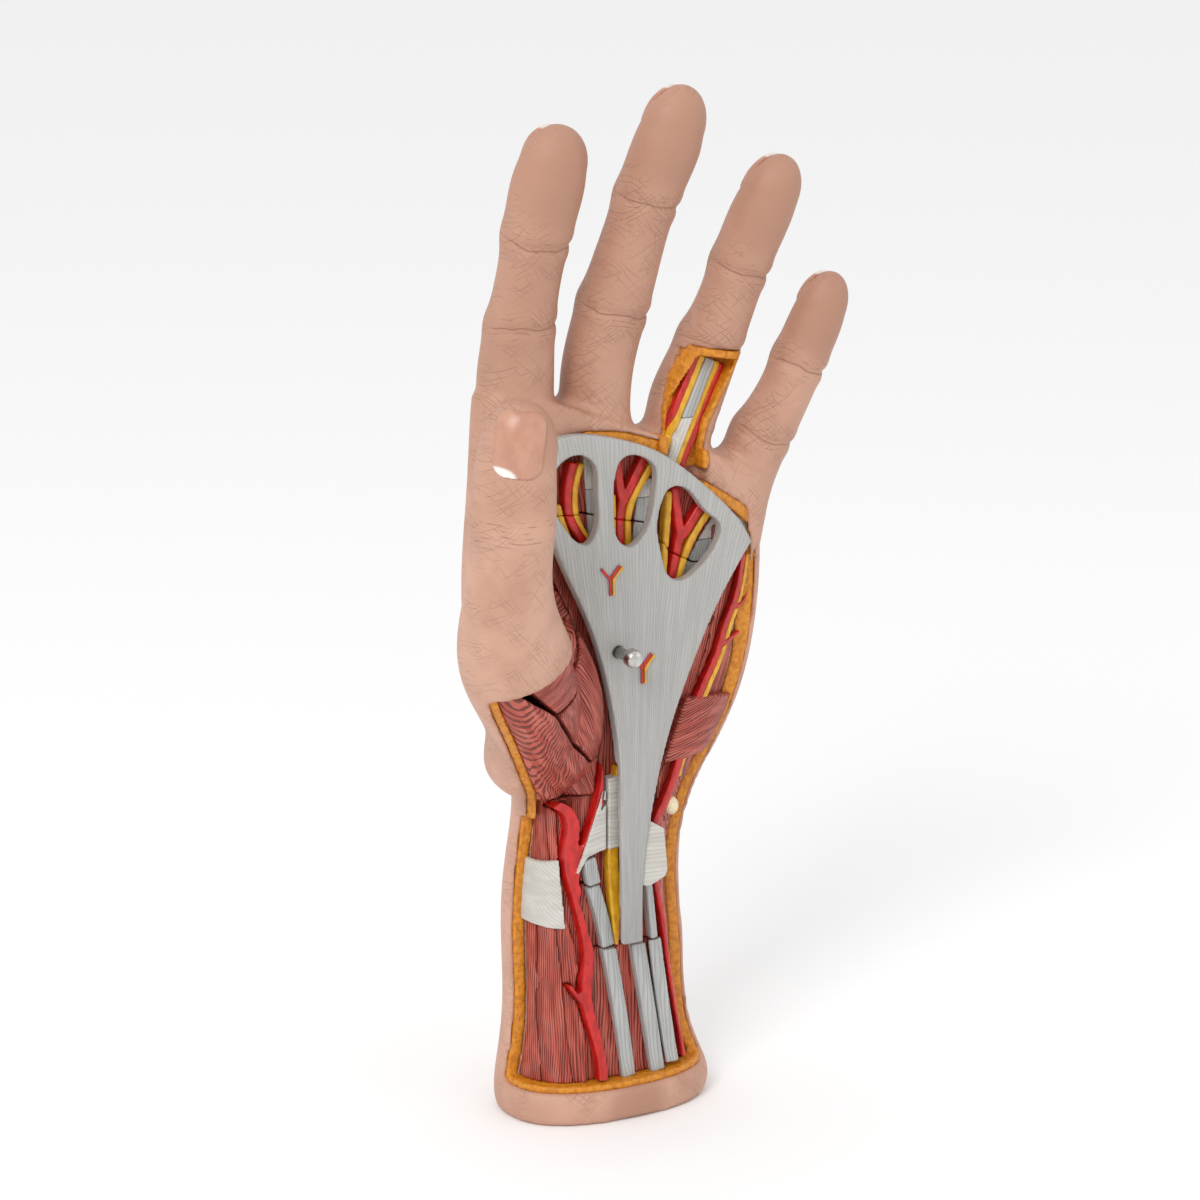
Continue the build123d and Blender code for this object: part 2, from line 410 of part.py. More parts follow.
def main():
    os.makedirs("parts", exist_ok=True)
    env = envelope()
    fat_outer = envelope(SKIN)
    muscle = envelope(SKIN + FAT)
    front = window_front()
    opened = prism(WINDOW)
    web_tilt = math.degrees(math.atan(-WEB_SLOPE * TALL / WIDE))
    above_webs = Pos(0, 0, WEB_Z * TALL) * Rot(0, web_tilt, 0) * Pos(0, 0, 50) * Box(300, 200, 100)
    palm = env - above_webs
    pin_back = WINDOW_Y - WINDOW_TILT * PIN_X
    ball_skin = ball_prism(BALL_EDGE)
    ball_fat = ball_prism(BALL_EDGE, FAT_EDGE)
    window = (opened & front) - ball_skin

    # -------- room swept by the pieces that lift off towards the front
    apon_room = cast(flowing(APON_OUTLINE, GAP), FRONT, APON_BACK + GAP)
    ligament_room = cast(offset(outline(CARPAL_LIGAMENT), GAP), FRONT, APON_BACK + GAP)
    plate_room = cast(offset(outline(PLATE), GAP), FRONT, REAR) & front
    lifted = union([plate_room, apon_room, ligament_room])

    # -------- the hollow casting, the disc that closes its foot, and the fat along its cut edges
    ring_pocket = prism(RING_WINDOW, FRONT, RING_FLOOR)
    band = ((fat_outer - muscle) & (window_front(-FAT) - front) & opened) - ball_skin
    hollow = (envelope(WALL + SKIN) & slab(-1, HOLLOW_TOP)) - window_front(-WALL - FAT)
    socket_room = pin_line(SOCKET_R, pin_back - FAT, pin_back + PIN_DEPTH)
    shell = palm - window - band - hollow - socket_room - ring_pocket - apon_room
    write("hand_shell", shell)
    write("foot_plate", hollow & Pos(0, 0, FOOT_PLATE / 2) * Box(200, 200, FOOT_PLATE))
    ledge = fat_outer & front & slab(FOOT_TOP, LEDGE_TOP)
    write("fat_layer", band, ledge)
    palm_rim = (prism(PALM_RIM, APON_BACK + GAP, 5.0) & window & env) - above_webs - prism(RING_WINDOW)
    write("fat_rim_palm", palm_rim)

    # -------- digits and nails
    digits = {name: digit(name) for name in DIGITS}
    nails = {name: nail(name) for name in DIGITS}
    for name, shape in digits.items():
        shape = shape - palm - nails[name]
        if name == "ring_finger":
            shape = shape - ring_pocket
        if name == "thumb":
            shape = shape - window
        write(name, shape)
        write(name.replace("_finger", "") + "_nail", nails[name])
    pocket = (digits["ring_finger"] + palm) & ring_pocket & slab(RING_RIM_LOW, DRAWN_HEIGHT)
    write("fat_rim_ring_finger", pocket - prism(RING_INNER, FRONT, RING_FLOOR - RING_FAT) - apon_room)
    rim_room = (window & ball_fat & slab(BALL_EDGE[0][1], SKIN_LINE[-1][1])) - lifted
    write("fat_rim_thumb", (digit("thumb", SKIN) & rim_room) + (fat_outer & rim_room))

    # -------- vessels that stay on the hand, laid on the muscles
    laid = (envelope(SKIN + FAT - VESSEL_PROUD) & front) - envelope(SKIN + FAT + VESSEL_SUNK)
    radial = union([strip(RADIAL_ARTERY, 3.2), strip(RADIAL_TWIG, 1.4), strip(PALMAR_BRANCH, 2.0),
                    strip(PALMAR_TWIG, 1.3)])
    radial = (radial & laid) - lifted - ball_fat
    brevis = (prism(PALMARIS_BREVIS) & envelope(SKIN + FAT - BREVIS_PROUD) & front) - envelope(SKIN + FAT + 0.6)
    brevis = brevis - lifted
    ulnar = ((strip(ULNAR_ARTERY, ULNAR_WIDTHS) & laid) - lifted) - brevis
    side_artery = union([strip(HYPOTHENAR_ARTERY, ARTERY_WIDTH)] + [strip(twig, 1.2) for twig in HYPOTHENAR_TWIGS])
    side_artery = ((side_artery & laid) - lifted) - brevis - palm_rim
    side_nerve = (union([strip(HYPOTHENAR_NERVE, NERVE_WIDTH), strip(LOW_NERVE, NERVE_WIDTH)]) & laid) - lifted
    side_nerve = side_nerve - side_artery - brevis - palm_rim - ulnar
    write("radial_artery", radial)
    write("ulnar_artery", ulnar)
    write("hypothenar_artery", side_artery)
    write("hypothenar_nerve", side_nerve)
    write("palmaris_brevis", brevis)
    kept_out = union([lifted, palm_rim, ball_fat, radial, ulnar, side_artery, side_nerve, brevis])

    # -------- forearm: muscles between their lines, the deeper bed, then what lies on it
    pisiform = Pos(*PISIFORM) * scale(Sphere(1), by=PISIFORM_RADII)
    above_ledge = slab(LEDGE_TOP, FOREARM_TOP)
    bellies = (muscle & front & above_ledge) - kept_out
    bed = (envelope(SKIN + FAT + BED_DROP) & front & above_ledge) - kept_out
    left_edge, right_edge = [(-FAR, LEDGE_TOP), (-FAR, 96)], [(FAR, LEDGE_TOP), (FAR, 96)]
    write("brachioradialis_muscle", bellies & line_prism(left_edge, LINE_1))
    write("flexor_carpi_radialis_muscle", bellies & line_prism(LINE_1, LINE_2))
    write("flexor_pollicis_longus_muscle", bellies & line_prism(LINE_2, LINE_3))
    write("flexor_carpi_ulnaris_muscle", (bellies & line_prism(LINE_4, right_edge)) - pisiform)
    bed = bed & line_prism(LINE_3, LINE_4)
    write("flexor_muscle_bed", bed)
    write("pisiform", pisiform - kept_out)

    over_bed = env & slab(LEDGE_TOP, FOREARM_TOP) & between(TENDON_FRONT, 0)
    retinaculum = (prism(RETINACULUM, TENDON_FRONT, -12.2) - bellies - bed) - kept_out
    write("flexor_retinaculum", retinaculum)
    low_tendon = (strip(FCR_TENDON, 4.0, TENDON_FRONT, -12) & over_bed) - bed - kept_out
    high_tendon = (strip(FCR_TOP, 3.8, TENDON_FRONT, -12) & over_bed) - bed - retinaculum - bellies - kept_out
    write("radial_wrist_tendon", low_tendon, high_tendon)
    palmaris = (strip(PALMARIS_TENDON, 4.2, TENDON_FRONT, -12) & over_bed) - bed - kept_out
    write("palmaris_longus_tendon", palmaris)
    strands = []
    for i in range(STRANDS):
        path = [(x + i * (STRAND_WIDTH + STRAND_GAP), z) for x, z in STRAND_PATH]
        strand = (strip(path, STRAND_WIDTH, STRAND_FRONT, -12) & over_bed) - bed - bellies - kept_out
        strands.append(strand - palmaris)
    write("superficial_flexor_strands", *strands)
    patch = (envelope(SKIN + FAT - PATCH) - muscle) & prism(FASCIA_PATCH) & front
    write("antebrachial_fascia_patch", patch - radial)

    # -------- ball of the thumb, under the cut edge of its skin
    ball_room = (window & slab(FOREARM_TOP, 160)) - kept_out - retinaculum
    swell = scale(Sphere(1), by=(THENAR_RADII[0] * WIDE, THENAR_RADII[1], THENAR_RADII[2] * TALL))
    swell = Pos(THENAR_BALL[0] * WIDE, THENAR_BALL[1], THENAR_BALL[2] * TALL) * swell
    ball = union([shape & ball_room for shape in (swell, digit("thumb", THENAR_INSET), muscle)])
    thenar = union([prism(ABDUCTOR_BREVIS), prism(FLEXOR_BREVIS), prism(OPPONENS)])
    write("abductor_pollicis_brevis", ball & prism(ABDUCTOR_BREVIS))
    write("flexor_pollicis_brevis", ball & prism(FLEXOR_BREVIS))
    write("opponens_pollicis", ball & prism(OPPONENS))

    # -------- ball of the little finger
    corner = (prism(CORNER_BAND) & laid & window) - above_webs
    side = (muscle & window & slab(FOREARM_TOP, 160)) - kept_out - thenar - corner
    outer = prism(HYPOTHENAR_LINE + [(FAR, 160), (FAR, FOREARM_TOP)])
    inner = prism(HYPOTHENAR_LINE + HYPOTHENAR_LEFT)
    write("abductor_digiti_minimi", side & outer)
    write("flexor_digiti_minimi", side & inner)

    # -------- deep bed of the palm and what crosses the plate's seam
    deep = (env & window & slab(FOREARM_TOP, 200) & between(PLATE_FRONT, REAR)) - above_webs
    deep = deep - kept_out - thenar - outer - inner - ring_pocket - socket_room - retinaculum
    arteries = [union([strip(path, ARTERY_WIDTH, VESSEL_FRONT, PLATE_FRONT) for path in paths])
                for paths in DIGITAL_ARTERIES]
    nerves = [union([strip(path, NERVE_WIDTH, VESSEL_FRONT + 0.3, PLATE_FRONT) for path in paths]) - union(arteries)
              for paths in DIGITAL_NERVES]
    tendons = [strip(path, width, PLATE_FRONT - PLATE_SHELF, PLATE_FRONT) - union(arteries + nerves)
               for path, width in zip(FLEXOR_TENDONS, TENDON_WIDTHS)]
    plate = outline(PLATE)
    on_plate = cast(plate, FRONT, REAR)
    beyond_plate = (env & window & slab(FOREARM_TOP, 200)) - kept_out - outer - inner - ring_pocket - above_webs
    bare = [t & slab(0, z) & beyond_plate for t, z in zip(tendons, SHEATH_LOW)]
    write("palm_tendon_sheaths", *[t & slab(z, 200) & beyond_plate for t, z in zip(tendons, SHEATH_LOW)])
    write("palm_tendons", *bare)
    pin_hole = pin_line(PIN_R + PIN_CLEARANCE, FRONT, pin_back + PIN_DEPTH)
    write("plate_tendons", *[(t & on_plate) - pin_hole for t in tendons])
    for name, group in {"digital_arteries": arteries, "digital_nerves": nerves}.items():
        write("palm_" + name, *[shape & beyond_plate for shape in group])
        write("plate_" + name, *[shape & on_plate for shape in group])
    corner = corner - kept_out - union(arteries + nerves)
    write("ulnar_corner_band", corner)
    write("palm_muscle_bed", *[piece for piece in (deep - corner).solids() if piece.volume > SLIVER])

    # -------- opened ring finger
    floor = RING_FLOOR - RING_FAT
    in_ring = (digits["ring_finger"] + palm) & prism(RING_INNER, FRONT, floor) & slab(RING_RIM_LOW, 250)
    in_ring = in_ring - kept_out
    for name, aside in RING_LINES.items():
        width = NERVE_WIDTH if "nerve" in name else ARTERY_WIDTH - 0.6
        bands = [strip(RING_CENTRE, width, floor - 2.2, floor, aside * sign) for sign in (-1, 1)]
        write(name, *[shape & in_ring for shape in bands])
    band = strip(RING_CENTRE, 2 * RING_TENDON_HALF, floor - 2.8, floor) & in_ring
    write("ring_tendon_sheath", band & slab(0, RING_SHEATH_TOP))
    write("ring_flexor_tendon", band & slab(RING_SHEATH_TOP, 250))

    # -------- the lift-off tendon plate
    plate_bed = cast(plate, PLATE_FRONT, REAR) & window_front(GAP)
    write("tendon_plate_bed", plate_bed - pin_hole)
    tab_tendons = [strip(path, width, VESSEL_FRONT, PLATE_FRONT) & on_plate
                   for path, width in ((FCR_TAB, 3.8), (STRAND_TAB, 2.2))]
    median = (strip(MEDIAN_NERVE, MEDIAN_WIDTHS, VESSEL_FRONT, PLATE_FRONT) & on_plate) - union(tab_tendons)
    write("wrist_tab_tendons", *tab_tendons)
    write("median_nerve", median)
    write("plate_retinaculum", prism(PLATE_RETINACULUM, PLATE_RETINACULUM_FRONT, PLATE_FRONT) - median)

    # -------- the lift-off palmar aponeurosis
    forks, fork_nerves = [], []
    for x, z in PERFORATORS:
        arms = [strip([(x + u, z + v) for u, v in arm], FORK_WIDTH, APON_FRONT - FORK_PROUD, APON_FRONT)
                for arm in FORK_ARMS]
        forks.append(union(arms))
        nerve = strip([(x + u, z + v) for u, v in FORK_NERVE], FORK_WIDTH, APON_FRONT - FORK_PROUD, APON_FRONT)
        fork_nerves.append(nerve - union(arms))
    aponeurosis = flowing(APON_OUTLINE)
    for hole in APON_HOLES:
        aponeurosis = aponeurosis - smooth(hole)
    aponeurosis = cast(aponeurosis, APON_FRONT, APON_BACK) - pin_hole
    aponeurosis = aponeurosis - (between(APON_FRONT + STEM_THICK, 0) & slab(0, STEM_TOP))
    write("palmar_aponeurosis", aponeurosis)
    write("perforating_arteries", *forks)
    write("perforating_nerves", *fork_nerves)
    ligament = prism(CARPAL_LIGAMENT, LIGAMENT_FRONT, APON_BACK) - cast(flowing(APON_OUTLINE), FRONT, REAR)
    write("palmar_carpal_ligament", ligament)

    # -------- the pin and the bush it stands in
    write("pin_socket", pin_line(SOCKET_R, pin_back + GAP, pin_back + PIN_DEPTH) - pin_hole)
    head_back = APON_FRONT - PIN_PROUD + PIN_HEAD_LENGTH
    head = pin_line(PIN_HEAD_R, head_back - PIN_HEAD_LENGTH, head_back)
    head = fillet(head.edges().group_by(Axis.Y)[0], PIN_HEAD_R * 0.7)
    write("retaining_pin", pin_line(PIN_R, head_back, pin_back + PIN_DEPTH - PIN_END) + head)


if __name__ == "__main__":
    main()
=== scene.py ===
"""Looks of a life-size teaching model of an opened left hand: a painted cast skin round carved muscles,
painted vessels and nerves, a lift-off plate of tendons, and a lift-off aponeurosis held by a steel pin."""
import math
import bpy
import numpy as np
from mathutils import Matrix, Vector, noise


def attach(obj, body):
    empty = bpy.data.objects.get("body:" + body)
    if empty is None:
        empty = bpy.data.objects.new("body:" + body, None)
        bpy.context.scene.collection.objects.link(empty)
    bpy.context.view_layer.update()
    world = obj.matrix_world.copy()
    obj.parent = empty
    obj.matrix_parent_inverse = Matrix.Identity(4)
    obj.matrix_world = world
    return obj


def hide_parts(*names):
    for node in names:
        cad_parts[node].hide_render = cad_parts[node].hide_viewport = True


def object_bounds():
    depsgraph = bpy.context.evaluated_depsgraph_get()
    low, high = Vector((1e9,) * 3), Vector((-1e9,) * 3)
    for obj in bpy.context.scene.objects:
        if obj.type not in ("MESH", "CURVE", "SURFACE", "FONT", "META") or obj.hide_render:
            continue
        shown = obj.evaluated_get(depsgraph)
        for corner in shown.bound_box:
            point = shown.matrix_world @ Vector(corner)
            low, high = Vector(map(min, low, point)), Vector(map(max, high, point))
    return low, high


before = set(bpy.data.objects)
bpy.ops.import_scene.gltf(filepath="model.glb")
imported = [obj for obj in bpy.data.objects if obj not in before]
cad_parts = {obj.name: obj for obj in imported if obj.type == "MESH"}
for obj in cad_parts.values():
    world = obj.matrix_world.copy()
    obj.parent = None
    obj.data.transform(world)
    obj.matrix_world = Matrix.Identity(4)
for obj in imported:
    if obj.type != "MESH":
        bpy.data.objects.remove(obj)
cad_low, cad_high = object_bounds()

# ------------------------------------------------------------------ cast skin
# The body of the model: forearm stump, palm and five digits, cast in one mould from stiff vinyl resin and
# sprayed a matt flesh colour. The mould keeps the print of real skin: flexion folds, fine crossed lines
# The paint turns tanner towards the tops of the fingers and on the finger pads.
MM = 0.001
SKIN_GRAIN = 1.05 * MM
PALE_SKIN, TAN_SKIN, FOLD_SHADE_SKIN = "#CA9D87", "#AA7D67", "#9A6950"
JOINTS = [  # middle of each finger joint, direction of the finger there, depth of its fold on the palm side
    ((-27.3, -14.8, 241.4), (0.06, -0.26, 0.96), 1.0), ((-28.4, -8.5, 219.0), (-0.04, -0.15, 0.99), 0.9),
    ((2.8, -19.0, 250.0), (0.20, -0.24, 0.95), 1.0), ((-2.9, -11.7, 221.8), (0.18, -0.25, 0.95), 1.0),
    ((31.8, -17.8, 230.0), (0.22, -0.27, 0.94), 1.0), ((26.5, -11.5, 210.5), (0.23, -0.24, 0.94), 0.7),
    ((50.8, -17.3, 202.8), (0.28, -0.29, 0.92), 1.0), ((44.2, -10.6, 183.2), (0.26, -0.28, 0.92), 0.9),
    ((-51.8, -46.4, 176.5), (-0.07, -0.24, 0.97), 0.8),
]
THUMB_PALMWARD = (0.55, 0.8, 0.0)
FINGER_RADIUS, FOLD_SPREAD = 15, 10
# Spots and their radius, mm: the pads at the finger tips, and the webs between the digits, rubbed round.
PULPS = [(-25.5, -26, 257, 13), (6.5, -30, 265, 13), (36, -30, 246, 12), (54, -27, 215, 11),
         (-50, -52, 199, 9), (0, -20, 3, 9)]
WEBS = [(-27, -4, 190, 15), (-14.5, -4, 191, 11), (-4.4, -5, 191, 14), (8.5, -4, 187, 12),
        (20, -5, 183, 14), (30, -5, 176, 12), (39, -6, 168, 14), (-32, -20, 122, 20), (-24, -6, 140, 14)]
WEB_STEPS, WEB_ROUNDS = 10, 60
# The cut edge of the palm's skin as (x, z), and the open ring finger's base, direction, length and half width,
# mm: skin is not rubbed there, so that the edge stays crisp.
PALM_EDGE = [(-60, 143), (-28.5, 165), (-27.5, 184), (-21, 188.6), (-12, 190), (-2, 188.8), (8, 185.6),
             (24, 172), (34, 166), (42, 160.5), (60, 155)]
RING_BASE, RING_WAY, RING_LENGTH, RING_HALF = (13, 176), (0.37, 0.93), 34, 9.5
# The knuckles on the back, and the point at the wrist that their tendons fan out from, mm.
KNUCKLES = [(-27, 8, 178), (-5, 8.5, 182), (17, 8, 176), (37, 6, 160)]
WRIST_ON_BACK = (2, 14, 96)
KNUCKLE_RISE, KNUCKLE_SIZE, RIDGE_RISE, RIDGE_HALF, RIDGE_START = 1.3, 6.5, 0.55, 2.0, 18


def linear(hex_colour):
    """An sRGB hex colour as linear RGBA."""
    parts = [int(hex_colour[i:i + 2], 16) / 255 for i in (1, 3, 5)]
    return (*[p / 12.92 if p <= 0.04045 else ((p + 0.055) / 1.055) ** 2.4 for p in parts], 1.0)


def add(tree, kind, inputs=(), **settings):
    """Adds one shader node, makes its settings, and fills or links its inputs."""
    node = tree.nodes.new("ShaderNode" + kind)
    for name, value in settings.items():
        setattr(node, name, value)
    for name, value in dict(inputs).items():
        if isinstance(value, bpy.types.NodeSocket):
            tree.links.new(value, node.inputs[name])
        else:
            node.inputs[name].default_value = value
    return node


def blank(name, **sockets):
    """A new material: its node tree and its shader, with plain values on the shader's sockets."""
    material = bpy.data.materials.new(name)
    material.use_nodes = True
    shader = material.node_tree.nodes["Principled BSDF"]
    for socket, value in sockets.items():
        shader.inputs[socket.replace("_", " ").title().replace("Ior", "IOR")].default_value = value
    return material, material.node_tree, shader


def blend(tree, share, first, second, mode="MIX"):
    """One colour output from two colours or outputs."""
    first = linear(first) if isinstance(first, str) else first
    second = linear(second) if isinstance(second, str) else second
    return add(tree, "Mix", {0: share, 6: first, 7: second}, data_type="RGBA", blend_type=mode).outputs[2]


def reach(tree, value, low, high, start=0.0, end=1.0):
    """A value mapped from low..high to start..end, and held there."""
    ends = {"Value": value, "From Min": low, "From Max": high, "To Min": start, "To Max": end}
    return add(tree, "MapRange", ends, interpolation_type="SMOOTHSTEP").outputs["Result"]


def sum_of(tree, *terms):
    """Several (output, weight) terms added up."""
    total = 0.0
    for output, weight in terms:
        total = math_of(tree, "MULTIPLY_ADD", output, weight, total)
    return total


def math_of(tree, operation, *terms):
    """One output from a math operation on outputs or numbers."""
    return add(tree, "Math", dict(enumerate(terms)), operation=operation).outputs[0]


def speckle(tree, where, size, detail=2.0):
    """Noise whose features have a size in millimetres along each axis."""
    spread = add(tree, "Mapping", {"Vector": where, "Scale": [s * MM for s in size]}, vector_type="TEXTURE")
    return add(tree, "TexNoise", {"Vector": spread.outputs[0], "Scale": 1.0, "Detail": detail}).outputs["Fac"]


def relief(tree, shader, height, depth):
    """Sends a height in 0..1 to the shader as a bump of that depth in millimetres."""
    bump = add(tree, "Bump", {"Height": height, "Distance": depth * MM, "Strength": 1.0})
    tree.links.new(bump.outputs[0], shader.inputs["Normal"])


def apply(piece, kind, **settings):
    """Adds one modifier to a piece, and applies it."""
    bpy.context.view_layer.objects.active = piece
    modifier = piece.modifiers.new(kind.lower(), kind)
    for name, value in settings.items():
        setattr(modifier, name, value)
    bpy.ops.object.modifier_apply(modifier=modifier.name)


def copy_of(name, *nodes):
    """One new piece from copies of CAD nodes, with their loose triangles merged."""
    bpy.ops.object.select_all(action="DESELECT")
    for node in nodes:
        copy = bpy.data.objects.new(name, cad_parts[node].data.copy())
        bpy.context.scene.collection.objects.link(copy)
        copy.select_set(True)
        bpy.context.view_layer.objects.active = copy
    if len(nodes) > 1:
        bpy.ops.object.join()
    bpy.ops.object.mode_set(mode="EDIT")
    bpy.ops.mesh.select_all(action="SELECT")
    bpy.ops.mesh.remove_doubles(threshold=0.01 * MM)
    bpy.ops.object.mode_set(mode="OBJECT")
    whole = bpy.context.active_object
    whole.name = name
    return whole


def round_off(piece, grain, rounds):
    """Skins a piece at one grain size and rubs its edges round, as a carved or cast edge is."""
    apply(piece, "REMESH", mode="VOXEL", voxel_size=grain, use_smooth_shade=True)
    if rounds:
        apply(piece, "SMOOTH", factor=0.5, iterations=rounds)


def read(piece, what="co"):
    """A piece's vertex places or normals, one row each, in metres."""
    values = np.zeros(len(piece.data.vertices) * 3)
    piece.data.vertices.foreach_get(what, values)
    return values.reshape(-1, 3)


def move(piece, places):
    """Puts a piece's vertices at these places, and holds them inside the CAD model's box."""
    places = np.clip(places, np.array(cad_low), np.array(cad_high))
    piece.data.vertices.foreach_set("co", places.astype(np.float32).ravel())
    piece.data.update()


def keep(piece, name, values):
    """Stores one number or one vector per vertex for the piece's material."""
    kind, field = ("FLOAT_VECTOR", "vector") if values.ndim == 2 else ("FLOAT", "value")
    piece.data.attributes.new(name, kind, "POINT").data.foreach_set(field, values.astype(np.float32).ravel())


def stored(tree, name, output="Fac"):
    """What was stored under that name, as a node output."""
    return add(tree, "Attribute", attribute_name=name).outputs[output]


def ease(values, low, high):
    """0 below low, 1 above high, and a smooth rise between."""
    t = np.clip((values - low) / (high - low), 0, 1)
    return t * t * (3 - 2 * t)


def near(places, spot, radius):
    """1 at a spot in millimetres, falling smoothly to 0 at the radius."""
    return 1 - ease(np.linalg.norm(places - np.array(spot), axis=1), 0.25 * radius, radius)


def mount(piece, finish, body, slot, *nodes):
    """Gives a finished piece its material and the body it rides on, and hides the CAD nodes it stands for. The
    slot is not used.
    """
    piece.data.materials.clear()
    piece.data.materials.append(finish)
    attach(piece, body)
    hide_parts(*nodes)


DIGITS = ["index_finger", "middle_finger", "ring_finger", "little_finger", "thumb"]
skin = copy_of("cast_skin", "hand_shell", *DIGITS)
round_off(skin, SKIN_GRAIN, 3)

at = read(skin) / MM
web = np.zeros(len(at))
for x, y, z, radius in WEBS:
    web = np.maximum(web, near(at, (x, y, z), radius))
edge_height = np.interp(at[:, 0], [x for x, z in PALM_EDGE], [z for x, z in PALM_EDGE])
web[(at[:, 2] < edge_height + 1.0) & (at[:, 1] < 2) & (at[:, 0] > -27)] = 0
right, up = at[:, 0] - RING_BASE[0], at[:, 2] - RING_BASE[1]
along_ring = np.clip((right * RING_WAY[0] + up * RING_WAY[1]), 0, RING_LENGTH)
from_ring = np.hypot(right - along_ring * RING_WAY[0], up - along_ring * RING_WAY[1])
web[(from_ring < RING_HALF) & (at[:, 1] < -6)] = 0
group = skin.vertex_groups.new(name="webs")
for step in range(1, WEB_STEPS + 1):
    members = np.nonzero((web > (step - 1) / WEB_STEPS) & (web <= step / WEB_STEPS))[0]
    group.add(members.tolist(), step / WEB_STEPS, "REPLACE")
apply(skin, "SMOOTH", factor=0.6, iterations=WEB_ROUNDS, vertex_group="webs")
skin.vertex_groups.clear()

at, out = read(skin) / MM, read(skin, "normal")
lift = np.zeros(len(at))
offset, palm_fold, back_fold = np.full(len(at), 20.0), np.zeros(len(at)), np.zeros(len(at))
for middle, way, depth in JOINTS:
    way = np.array(way) / np.linalg.norm(way)
    rel = at - np.array(middle)
    s = rel @ way
    aside = np.linalg.norm(rel - np.outer(s, way), axis=1)
    palmward = np.array((0, -1.0, 0)) + way * way[1]
    if middle[0] < -45:
        palmward = np.array(THUMB_PALMWARD)
    facing = out @ (palmward / np.linalg.norm(palmward))
    here = (aside < FINGER_RADIUS) * (1 - ease(np.abs(s), FOLD_SPREAD - 2, FOLD_SPREAD))
    palm, back = here * ease(facing, -0.35, 0.35) * depth, here * ease(-facing, 0.0, 0.6)
    nearer = (aside < FINGER_RADIUS) & (np.abs(s) < np.abs(offset))
    offset = np.where(nearer, s, offset)
    palm_fold = np.maximum(palm_fold, palm * (1 - ease(np.abs(s), 2.5, 5.5)))
    back_fold = np.maximum(back_fold, back * (1 - ease(np.abs(s), 3, 6)))
    lift += palm * (0.30 * np.exp(-((np.abs(s) - 2.6) / 1.8) ** 2) - 0.42 * np.exp(-(s / 0.75) ** 2))
    lift += back * 0.75 * np.exp(-(s / 4.2) ** 2)
on_back = ease(out[:, 1], 0.2, 0.7) * (at[:, 2] > 85) * (at[:, 1] > -4)
for x, y, z in KNUCKLES:
    start, end = np.array(WRIST_ON_BACK, float), np.array((x, y, z), float)
    way = (end - start) / np.linalg.norm(end - start)
    s = np.clip((at - start) @ way, RIDGE_START, np.linalg.norm(end - start))
    aside = np.linalg.norm((at - start - np.outer(s, way))[:, (0, 2)], axis=1)
    lift += on_back * RIDGE_RISE * np.exp(-(aside / RIDGE_HALF) ** 2)
    lift += on_back * KNUCKLE_RISE * np.exp(-(np.hypot(at[:, 0] - x, at[:, 2] - z) / KNUCKLE_SIZE) ** 2)
pulp = np.zeros(len(at))
for x, y, z, radius in PULPS:
    pulp = np.maximum(pulp, near(at, (x, y, z), radius * 1.6))
move(skin, (at + out * lift[:, None]) * MM)
keep(skin, "joint_offset", offset)
keep(skin, "palm_fold", palm_fold)
keep(skin, "back_fold", back_fold)
keep(skin, "pulp", pulp)

# Matt flesh paint over moulded vinyl: the eye sees soft, almost no gloss, with fine crossed print lines.
# Real print lines lie about 0.5 mm apart, which is too fine to show, so they are drawn 1.5 mm apart.
LINE_LENGTH, LINE_PITCH, CROSS_PITCH, CREASE_PITCH = 9, 1.6, 1.5, 0.75
matt_skin, tree, shader = blank("matt_painted_vinyl_skin", roughness=0.52, ior=1.47)
here = add(tree, "TexCoord").outputs["Object"]
smooth = reach(tree, stored(tree, "pulp"), 0.25, 0.9, 1.0, 0.15)
mottle = speckle(tree, here, (13, 13, 17), 3)
patchy = speckle(tree, here, (9, 9, 7), 1)
pores = speckle(tree, here, (0.5, 0.5, 0.5), 2)


def print_lines(tree, where, degrees, pitch, share):
    """Thin long slanted lines, where a stretched noise crosses its middle value."""
    slant = add(tree, "Mapping", {"Vector": where, "Rotation": (0, math.radians(degrees), 0)}).outputs[0]
    level = math_of(tree, "SUBTRACT", speckle(tree, slant, (LINE_LENGTH, LINE_LENGTH, pitch), 0), 0.5)
    thin = reach(tree, math_of(tree, "ABSOLUTE", level), 0.0, 0.03, 1.0, 0.0)
    return math_of(tree, "MULTIPLY", thin, share)


crossed = math_of(tree, "MAXIMUM", print_lines(tree, here, 38, LINE_PITCH, 0.8),
                  print_lines(tree, here, -47, CROSS_PITCH, 0.7))
printed = math_of(tree, "MULTIPLY", crossed, smooth)
printed = math_of(tree, "MULTIPLY", printed, reach(tree, patchy, 0.35, 0.62, 0.15, 1.0))
wobble = math_of(tree, "MULTIPLY_ADD", speckle(tree, here, (9, 9, 9), 1), 4.0, -2.0)
from_joint = math_of(tree, "ADD", stored(tree, "joint_offset"), wobble)
fade = reach(tree, speckle(tree, here, (4.5, 4.5, 1.6), 1), 0.47, 0.60)
main_line = reach(tree, math_of(tree, "ABSOLUTE", from_joint), 0.0, 0.26, 1.0, 0.0)
bundle = reach(tree, math_of(tree, "PINGPONG", from_joint, CREASE_PITCH), 0.0, 0.20, 1.0, 0.0)
bundle = math_of(tree, "MULTIPLY", bundle, fade)
palm_line = math_of(tree, "MAXIMUM", math_of(tree, "MULTIPLY", main_line, 0.8),
                    math_of(tree, "MULTIPLY", bundle, 0.45))
palm_line = math_of(tree, "MULTIPLY", palm_line, stored(tree, "palm_fold"))
back_line = math_of(tree, "MULTIPLY", bundle, math_of(tree, "MULTIPLY", stored(tree, "back_fold"), 0.7))
folds = math_of(tree, "MAXIMUM", palm_line, back_line)
